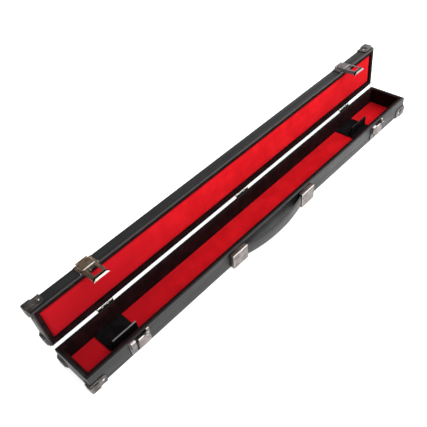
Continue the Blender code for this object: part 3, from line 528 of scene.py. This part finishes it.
def soften(obj, width, segments):
    """Rounds a piece's hard edges by a modifier, which leaves its own mesh as it is."""
    weld = obj.modifiers.new("Weld", "WELD")
    weld.merge_threshold = WELD_REACH
    bevel = obj.modifiers.new("Bevel", "BEVEL")
    bevel.width = width
    bevel.segments = segments
    bevel.limit_method = "ANGLE"
    bevel.angle_limit = BEVEL_ANGLE
    bevel.use_clamp_overlap = True
    bevel.harden_normals = False


def dress(name, material, width=0.0, segments=2):
    """Gives a CAD node its material and, where it helps, softened edges."""
    node = NODES[name]
    node.data.materials.clear()
    node.data.materials.append(material)
    if width:
        soften(node, width, segments)
    node.data.shade_smooth()
    node.data.set_sharp_from_angle(angle=SHARP_CAD)


def add_lathe(bm, profile, placing, sides=24):
    """A solid turned about local Z. The profile runs from pole to pole as (radius, height)."""
    rings = []
    for radius, height in profile:
        if radius == 0:
            rings.append([bm.verts.new(placing @ Vector((0, 0, height)))])
            continue
        ring = []
        for i in range(sides):
            turn = 2 * math.pi * i / sides
            point = Vector((radius * math.cos(turn), radius * math.sin(turn), height))
            ring.append(bm.verts.new(placing @ point))
        rings.append(ring)
    for low, high in zip(rings, rings[1:]):
        for i in range(sides):
            j = (i + 1) % sides
            if len(low) == 1:
                bm.faces.new([low[0], high[j], high[i]])
            elif len(high) == 1:
                bm.faces.new([low[i], low[j], high[0]])
            else:
                bm.faces.new([low[i], low[j], high[j], high[i]])


def towards(position, direction):
    """The placing that puts local Z along a direction at a position."""
    turn = Vector(direction).to_track_quat("Z", "Y").to_matrix().to_4x4()
    return Matrix.Translation(position) @ turn


def add_slab(bm, low, high, steps, shape):
    """A closed box of small faces. The shape call moves a point, given its shares of the box."""
    count = [max(1, round((high[i] - low[i]) / steps[i])) for i in range(3)]
    seen = {}

    def vert(i, j, k):
        key = (i, j, k)
        if key not in seen:
            shares = (i / count[0], j / count[1], k / count[2])
            point = Vector([low[n] + (high[n] - low[n]) * shares[n] for n in range(3)])
            seen[key] = bm.verts.new(shape(point, shares))
        return seen[key]

    for fixed in range(3):
        u, v = [n for n in range(3) if n != fixed]
        for end in (0, count[fixed]):
            for a in range(count[u]):
                for b in range(count[v]):
                    corners = []
                    for da, db in ((0, 0), (1, 0), (1, 1), (0, 1)):
                        key = [0, 0, 0]
                        key[fixed], key[u], key[v] = end, a + da, b + db
                        corners.append(vert(*key))
                    bm.faces.new(corners)


def wander(point, scale, seed):
    """Smooth noise from -1 to 1 at a point."""
    return noise.noise(Vector(point) * scale + Vector((seed, seed * 0.37, seed * 0.71)))


# ---- the covered boards: each wall with the axis across it and its side of the box ----
BOARD_SIDES = (("front_wall", 1, 0), ("rear_wall", 1, 1), ("left_end", 0, 0), ("right_end", 0, 1))


def dress_boards():
    for level in ("base", "lid"):
        lid = level == "lid"
        for part, axis, side in BOARD_SIDES:
            name = f"{level}_{part}"
            box = closed_box(name, lid)
            rim = (axis, box[side][axis], box[0][2] if lid else box[1][2])
            dress(name, leathercloth(name + "_cover", lid, box, rim), BOARD_ROUND)
    for name, lid in (("base_bottom_board", False), ("lid_top_board", True)):
        box = closed_box(name, lid)
        dress(name, leathercloth(name + "_cover", lid, box, light=BOARD_SHADE))


# ---- the metal fittings ----
def hasp_zones(box, tones):
    """The hasp's window bar and foot lip, bright as painted highlights, with a near-black band between
    the window and the lip.
    """
    foot = box[0][2]
    bar = foot + BAR_RISE
    highlight_tone = tones[2]
    return (((None, None, bar - BAR_SPAN[0]), (None, BAR_FRONT, bar + BAR_SPAN[1]), highlight_tone),
            ((None, None, None), (None, None, foot + LIP_TOP), highlight_tone),
            ((None, None, foot + LIP_BAND[0]), (None, None, foot + LIP_BAND[1]), NEAR_BLACK))


def base_plate_zones(box, tones):
    """The base plate's recess beside and above the keeper, darkened as painted shade, and a painted
    highlight along its top edge.
    """
    middle = box[1][0] - PLATE_RIGHT
    top = box[1][2]
    left = middle - RECESS_SIDE[0]
    return (((left, None, None), (middle - RECESS_SIDE[1], None, None), NEAR_BLACK),
            ((left, None, top - RECESS_DROP), (middle + RECESS_RIGHT, None, None), NEAR_BLACK),
            ((middle + PLATE_EDGE[0], None, top - PLATE_EDGE[1]), (None, None, None), tones[2]))


def bracket_zones(box, tones):
    """The bracket's top and flanks, darkened as painted shade, with a painted highlight line along its
    front top edge.
    """
    front = box[0][1]
    top = box[1][2]
    line_back, line_drop = BRACKET_LINE
    return (((None, front + BRACKET_TOP_FROM[0], top - BRACKET_TOP_FROM[1]), (None, None, None),
             BRACKET_TOP_SHADE),
            ((None, None, top - line_drop), (None, front + line_back, None), tones[2]),
            ((None, front + BRACKET_SIDE_FROM[0], None), (None, None, top - BRACKET_SIDE_FROM[1]),
             BRACKET_SIDE_SHADE))


def fitting_look(name, box):
    """A fitting's plating as the settings of plated and its edge rounding, or None if not metal."""
    right = "right" in name
    top = box[1][2]
    look = {"rough": 0.30, "brushed": (1.0, 1.0, 12.0), "wear": 0.9, "zones": (), "barrel": False}
    width = PLATE_ROUND
    if "_cap_" in name:
        # Left caps get the shaded copy of the plating, right caps the lit one.
        look.update(tones=CAP_RIGHT_LIT if right else CAP_LEFT_SHADED, rough=0.36, brushed=(1.0, 1.0, 8.0))
        width = CAP_ROUND
    elif name.startswith("handle_bracket"):
        look.update(tones=BRACKET, rough=0.40, brushed=(14.0, 1.0, 1.0), wear=0.3,
                    zones=bracket_zones(box, BRACKET))
        width = BRACKET_ROUND
    elif name.startswith("hinge"):
        look.update(tones=HINGE_PLATE, rough=0.34, brushed=(14.0, 1.0, 1.0), barrel=True)
    elif name.endswith("hasp"):
        # Left and right hasps carry painted reflections of different tone.
        look["tones"] = HASP_RIGHT_REFLECTED if right else HASP_LEFT_REFLECTED
        look["zones"] = hasp_zones(box, look["tones"])
    elif name.endswith("base_plate"):
        look.update(tones=BASE_PLATE, zones=base_plate_zones(box, BASE_PLATE))
    elif name.endswith("keeper"):
        # Painted highlight along the keeper's top front edge.
        drop, back = KEEPER_EDGE
        edge = ((None, None, top - drop), (None, box[0][1] + back, None), BLOCK[2])
        look.update(tones=BLOCK, zones=(edge,))
    elif name.endswith("slide"):
        # Painted highlight along the slide button's top.
        button = ((None, None, top - BUTTON_TOP), (None, None, None), BASE_PLATE[2])
        look.update(tones=BASE_PLATE, zones=(button,))
    elif name.startswith("latch"):
        # Latches carry the same painted reflection tones as their hasps.
        look["tones"] = HASP_RIGHT_REFLECTED if right else HASP_LEFT_REFLECTED
    else:
        return None
    return look, width


def dress_fittings():
    for name in sorted(NODES):
        lid = NODES[name]["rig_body"] not in ("base", "left_slide", "right_slide")
        box = closed_box(name, lid)
        found = fitting_look(name, box)
        if found is None:
            continue
        look, width = found
        dress(name, plated(name + "_plate", lid, box, **look), width)


# ---- nails, as smooth domes over a shallow skirt ----
def build_nails():
    for name in [n for n in sorted(NODES) if "_nail_" in n]:
        lid = name.startswith("lid")
        low, high = closed_box(name, lid)
        side = -1 if "front" in name else 1
        head_y = low[1] if side < 0 else high[1]
        middle = Vector(((low[0] + high[0]) / 2, head_y, (low[2] + high[2]) / 2))
        radius, height = NAIL_RADIUS, NAIL_HEAD
        profile = [(0, -NAIL_LENGTH), (NAIL_SHANK, -NAIL_TAPER), (NAIL_SHANK, -height),
                   (radius, -height), (radius, -height * 0.80), (radius * 0.90, -height * 0.48),
                   (radius * 0.66, -height * 0.20), (radius * 0.36, -height * 0.05), (0, 0)]
        bm = bmesh.new()
        add_lathe(bm, profile, towards(middle, (0, side, 0)))
        material = plated(name + "_steel", lid, (low, high), NAIL, 0.28)
        make_piece(name.replace("nail", "nail_head"), bm, material, "lid" if lid else "base",
                   lid, replaces=[name])


# ---- linings ----
def build_floor_felt():
    low, high = closed_box("base_floor_felt", False)

    def shape(point, shares):
        if shares[2] == 1:
            across = min(shares[1], 1 - shares[1]) * (high[1] - low[1])
            turned_up = FELT_TURNED_UP * math.exp(-across / FELT_TURN_REACH)
            point.z += FELT_WAVE * wander(point, 46.0, 3.0) + turned_up
        return point

    bm = bmesh.new()
    add_slab(bm, low, high, FELT_STEPS, shape)
    piece = make_piece("floor_felt", bm, felt("floor_felt_red", box=(low, high)), "base",
                       replaces=["base_floor_felt"])


def swell(bm, low, high):
    """Lets the pad swell like foam under felt by a short cloth simulation, held to within its room."""
    mesh = bpy.data.meshes.new("pad_start")
    bm.to_mesh(mesh)
    start = bpy.data.objects.new("pad_start", mesh)
    bpy.context.scene.collection.objects.link(start)
    cloth = start.modifiers.new("Cloth", "CLOTH")
    cloth.settings.quality = 4
    cloth.settings.use_pressure = True
    cloth.settings.uniform_pressure_force = SWELL_PRESSURE
    cloth.settings.effector_weights.gravity = 0.0
    cloth.settings.tension_stiffness = SWELL_STIFF
    cloth.settings.compression_stiffness = SWELL_STIFF
    cloth.settings.bending_stiffness = SWELL_BEND
    cloth.point_cache.frame_end = SWELL_FRAMES
    for step in range(1, SWELL_FRAMES + 1):
        bpy.context.scene.frame_set(step)
    graph = bpy.context.evaluated_depsgraph_get()
    swollen = np.array([v.co for v in start.evaluated_get(graph).to_mesh().vertices])
    at_rest = np.array([v.co for v in mesh.vertices])
    moved = np.clip(swollen - at_rest, -SWELL_CAP, SWELL_CAP)
    bpy.context.scene.frame_set(1)
    bpy.data.objects.remove(start, do_unlink=True)
    for vert, point in zip(bm.verts, np.clip(at_rest + moved, np.array(low), np.array(high))):
        vert.co = point


def build_lid_pad():
    """Foam under red felt, glued in the lid: a slightly crowned face with its edges tucked down."""
    low, high = closed_box("lid_foam_pad", True)
    inset = Vector((PAD_INSET, PAD_INSET, 0))

    def shape(point, shares):
        edge_x = min(shares[0], 1 - shares[0]) * (high[0] - low[0])
        edge_y = min(shares[1], 1 - shares[1]) * (high[1] - low[1])
        tuck = PAD_TUCK * math.exp(-min(edge_x, edge_y) / PAD_TUCK_REACH)
        if shares[2] == 0:
            waves = [height * wander(point, scale, seed) for height, scale, seed in PAD_WAVES]
            point.z += PAD_INSET + tuck + waves[0] + waves[1]
        return point

    bm = bmesh.new()
    add_slab(bm, Vector(low) + inset, Vector(high) - inset, PAD_STEPS, shape)
    bmesh.ops.recalc_face_normals(bm, faces=bm.faces)
    swell(bm, low, high)
    bmesh.ops.subdivide_edges(bm, edges=bm.edges, cuts=1, use_grid_fill=True, smooth=0.0)
    piece = make_piece("lid_felt_pad", bm, felt("lid_felt_red", True, (low, high)), "lid", True,
                       replaces=["lid_foam_pad"])


def ring_path(low, high, spacing):
    """Points round a rectangle in X and Y, each with its outward direction, mitred at the corners."""
    corners = [(low[0], low[1]), (high[0], low[1]), (high[0], high[1]), (low[0], high[1])]
    outward = [(0, -1), (1, 0), (0, 1), (-1, 0)]
    path = []
    for index, (x0, y0) in enumerate(corners):
        x1, y1 = corners[(index + 1) % 4]
        before, here = outward[index - 1], outward[index]
        count = max(2, round(math.hypot(x1 - x0, y1 - y0) / spacing))
        for i in range(count):
            out = (before[0] + here[0], before[1] + here[1]) if i == 0 else here
            path.append((x0 + (x1 - x0) * i / count, y0 + (y1 - y0) * i / count, out))
    return path


def build_wall_lining(level):
    """The flocked black strip round the inside of the walls, turned over the inner part of their rim."""
    lid = level == "lid"
    name = f"{level}_wall_lining"
    low, high = closed_box(name, lid)
    wall = closed_box(f"{level}_front_wall", lid)
    rim, bottom, up = (wall[0][2], high[2], -1) if lid else (wall[1][2], low[2], 1)
    top = rim + up * TURN_THICK
    # The strip's section as (distance out from the wall's face, height), from the foot round
    # to the back.
    face_top = top - up * TURN_ROUND
    section = [(-LINING_THICK, bottom + (face_top - bottom) * i / LINING_ROWS)
               for i in range(LINING_ROWS + 1)]
    section += [(-LINING_THICK * 0.7, top - up * TURN_ROUND * 0.3), (-LINING_THICK * 0.3, top)]
    turned = TURN_WIDTH[level]
    under = rim + up * TURN_CLEAR
    section += [(turned * 0.5, top), (turned, top), (turned, under), (turned * 0.5, under),
                (-TURN_CLEAR, under)]
    section += [(-TURN_CLEAR, bottom + (rim - bottom) * i / LINING_BACK_ROWS) for i in (2, 1, 0)]
    bm = bmesh.new()
    rings = []
    for x, y, out in ring_path(low, high, LINING_STEP):
        edge = 1 + LINING_RAGGED * wander((x, y, 0.0), 60.0, 2.0)
        ring = []
        for offset, z in section:
            reach = offset * edge if offset > 0 else offset
            ring.append(bm.verts.new((x + out[0] * reach, y + out[1] * reach, z)))
        rings.append(ring)
    for index, ring in enumerate(rings):
        other = rings[(index + 1) % len(rings)]
        for k in range(len(ring)):
            m = (k + 1) % len(ring)
            bm.faces.new([ring[k], other[k], other[m], ring[m]])
    material = black_cloth(name + "_flock", lid, tones=(FLOCK, FLOCK_LIGHT))
    make_piece(name.replace("wall_lining", "flock_strip"), bm, material, level, lid,
               replaces=[name])


def build_rest(side):
    """A rest: a card pad wrapped in black cloth, and its upright divider with a painted highlight along
    its top edge.
    """
    pad = f"cue_pad_{side}"
    divider = f"cue_divider_{side}"
    low, high = closed_box(pad, False)
    div_low, div_high = closed_box(divider, False)
    slot_low, slot_high = div_low[1] - SLOT_ROOM, div_high[1] + SLOT_ROOM

    def shape(point, shares):
        edge_x = min(point.x - low[0], high[0] - point.x)
        if shares[2] == 1:
            drop = REST_EDGE_DROP * math.exp(-edge_x / REST_EDGE_REACH)
            point.z += REST_WAVE * wander(point, 110.0, 4.0) - drop
        return point

    for part, (y0, y1) in (("front", (low[1], slot_low)), ("rear", (slot_high, high[1]))):
        bm = bmesh.new()
        add_slab(bm, (low[0], y0, low[2]), (high[0], y1, high[2]), REST_STEPS, shape)
        name = f"rest_pad_{side}_{part}"
        piece = make_piece(name, bm, black_cloth(name + "_cloth"), "base",
                           replaces=[pad])

    cloth = black_cloth(f"{divider}_cloth", top=div_high[2], top_highlight=DIVIDER_TOP_HIGHLIGHT[side])
    dress(divider, cloth, DIVIDER_ROUND, 3)


# ---- the handle strap ----
def strap_line(points, middle, mouth):
    """The band's middle line between the brackets, as X places and Y places, from the CAD strap."""
    band = points[np.abs(points[:, 0] - middle) <= mouth + 1e-4]
    xs = np.array(sorted({round(float(x), 5) for x in band[:, 0]}))
    ys = []
    for x in xs:
        column = band[np.abs(band[:, 0] - x) < 2e-5][:, 1]
        ys.append((column.min() + column.max()) / 2)
    return xs, np.array(ys)


def line_slope(x, line):
    """The angle of the strap's middle line at a place along X."""
    ahead = float(np.interp(x + SLOPE_STEP, *line))
    behind = float(np.interp(x - SLOPE_STEP, *line))
    return math.atan2(ahead - behind, 2 * SLOPE_STEP)


def build_strap():
    """A padded strap: a crowned band with thinner margins, swept along its bow, and its stitches."""
    node = NODES["handle_strap"]
    points = np.array([vert.co for vert in node.data.vertices])
    low, high = points.min(0), points.max(0)
    middle = (low[0] + high[0]) / 2
    bracket_low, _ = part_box("handle_bracket_right")
    mouth = bracket_low.x - middle
    reach = (high[0] - low[0]) / 2
    height = high[2] - low[2]
    line = strap_line(points, middle, mouth)
    bm = bmesh.new()
    rings = []
    for i in range(STRAP_STATIONS + 1):
        x = middle - reach + 2 * reach * i / STRAP_STATIONS
        held = abs(x - middle) > mouth
        y = float(np.interp(x, *line))
        slope = 0.0 if held else line_slope(x, line)
        across = Vector((-math.sin(slope), math.cos(slope), 0))
        crown = STRAP_CROWN_HELD if held else STRAP_CROWN
        ring = []
        for k in range(STRAP_ROUND):
            turn = 2 * math.pi * k / STRAP_ROUND
            c, s = math.cos(turn), math.sin(turn)
            # A flat oval whose margins are thinner than its middle.
            u = math.copysign(abs(c) ** 0.45, c)
            v = math.copysign(abs(s) ** 0.75, s)
            margin = 1.0 if abs(u) < STRAP_MARGIN_FROM else STRAP_MARGIN_THIN
            half = (STRAP_THICK / 2) * margin + (crown if s < 0 else 0.0) * (1 - u * u) * 0.8
            z = (low[2] + high[2]) / 2 + u * height / 2
            offset = v * half + STRAP_WAVE * wander((x, z, 0.0), 120.0, 9.0)
            ring.append(bm.verts.new(Vector((x, y, z)) + across * offset))
        rings.append(ring)
    for first, second in zip(rings, rings[1:]):
        for k in range(STRAP_ROUND):
            m = (k + 1) % STRAP_ROUND
            bm.faces.new([first[k], first[m], second[m], second[k]])
    bm.faces.new(rings[0])
    bm.faces.new(list(reversed(rings[-1])))
    piece = make_piece("carry_strap", bm, strap_leather("strap_black"), "base",
                       replaces=["handle_strap"])

    stitches = bmesh.new()
    for edge in (-1, 1):
        z = (low[2] + high[2]) / 2 + edge * (height / 2 - STITCH_INSET)
        x = middle - mouth + STITCH_END
        while x < middle + mouth - STITCH_END:
            slope = line_slope(x, line)
            ahead = Vector((math.cos(slope), math.sin(slope), 0))
            out = Vector((math.sin(slope), -math.cos(slope), 0))
            start = Vector((x, float(np.interp(x, *line)), z)) + out * (STRAP_THICK / 2 * STITCH_SINK)
            add_lathe(stitches, STITCH_PROFILE, towards(start, ahead), 6)
            x += STITCH_PITCH
    make_piece("strap_stitches", stitches, thread("strap_thread"), "base")


# ---- the room, the light and the camera ----
def add_area(name, place, target, size, power):
    light = bpy.data.lights.new(name, "AREA")
    light.shape = "RECTANGLE"
    light.size, light.size_y = size
    light.energy = power
    made = bpy.data.objects.new(name, light)
    bpy.context.scene.collection.objects.link(made)
    made.location = place
    made.rotation_euler = (Vector(target) - Vector(place)).to_track_quat("-Z", "Y").to_euler()


def build_room():
    bm = bmesh.new()
    bmesh.ops.create_grid(bm, x_segments=1, y_segments=1, size=FLOOR_HALF)
    mesh = bpy.data.meshes.new("studio_floor")
    bm.to_mesh(mesh)
    bm.free()
    floor = bpy.data.objects.new("studio_floor", mesh)
    bpy.context.scene.collection.objects.link(floor)
    g = Graph("studio_floor_white")
    white = g.finish(Base_Color=FLOOR_WHITE, Roughness=0.9, Specular_IOR_Level=0.1,
                     Emission_Color=(1.0, 1.0, 1.0), Emission_Strength=FLOOR_GLOW)
    mesh.materials.append(white)
    floor.location.z = -FLOOR_DROP

    world = bpy.data.worlds.new("studio")
    world.use_nodes = True
    tree = world.node_tree
    background = tree.nodes["Background"]
    background.inputs[0].default_value = (1.0, 1.0, 1.0, 1.0)
    towards_sky = tree.nodes.new("ShaderNodeTexCoord")
    share = tree.nodes.new("ShaderNodeVectorMath")
    share.operation = "DOT_PRODUCT"
    share.inputs[1].default_value = SKY_BRIGHT_SIDE
    level = tree.nodes.new("ShaderNodeMapRange")
    for socket, value in zip(list(level.inputs)[1:5], (*SKY_SPAN, SKY_DIM, SKY_BRIGHT)):
        socket.default_value = value
    tree.links.new(towards_sky.outputs["Generated"], share.inputs[0])
    tree.links.new(share.outputs["Value"], level.inputs[0])
    tree.links.new(level.outputs[0], background.inputs[1])
    bpy.context.scene.world = world
    for name, place, target, size, power in LIGHTS:
        add_area(name, place, target, size, power)


def build_camera():
    data = bpy.data.cameras.new("view")
    data.sensor_width = CAMERA_SENSOR
    data.lens = CAMERA_LENS
    data.shift_y = CAMERA_SHIFT
    data.clip_start, data.clip_end = CAMERA_CLIP
    camera = bpy.data.objects.new("view", data)
    bpy.context.scene.collection.objects.link(camera)
    right = CAMERA_FORWARD.cross(CAMERA_UP)
    turn = Matrix((right, CAMERA_UP, -CAMERA_FORWARD)).transposed().to_4x4()
    camera.matrix_world = Matrix.Translation(CAMERA_PLACE) @ turn
    bpy.context.scene.camera = camera


build_camera()
build_room()
dress_boards()
dress_fittings()
build_nails()
build_floor_felt()
build_lid_pad()
build_wall_lining("base")
build_wall_lining("lid")
build_rest("left")
build_rest("right")
build_strap()
bpy.context.scene.view_settings.view_transform = "Standard"
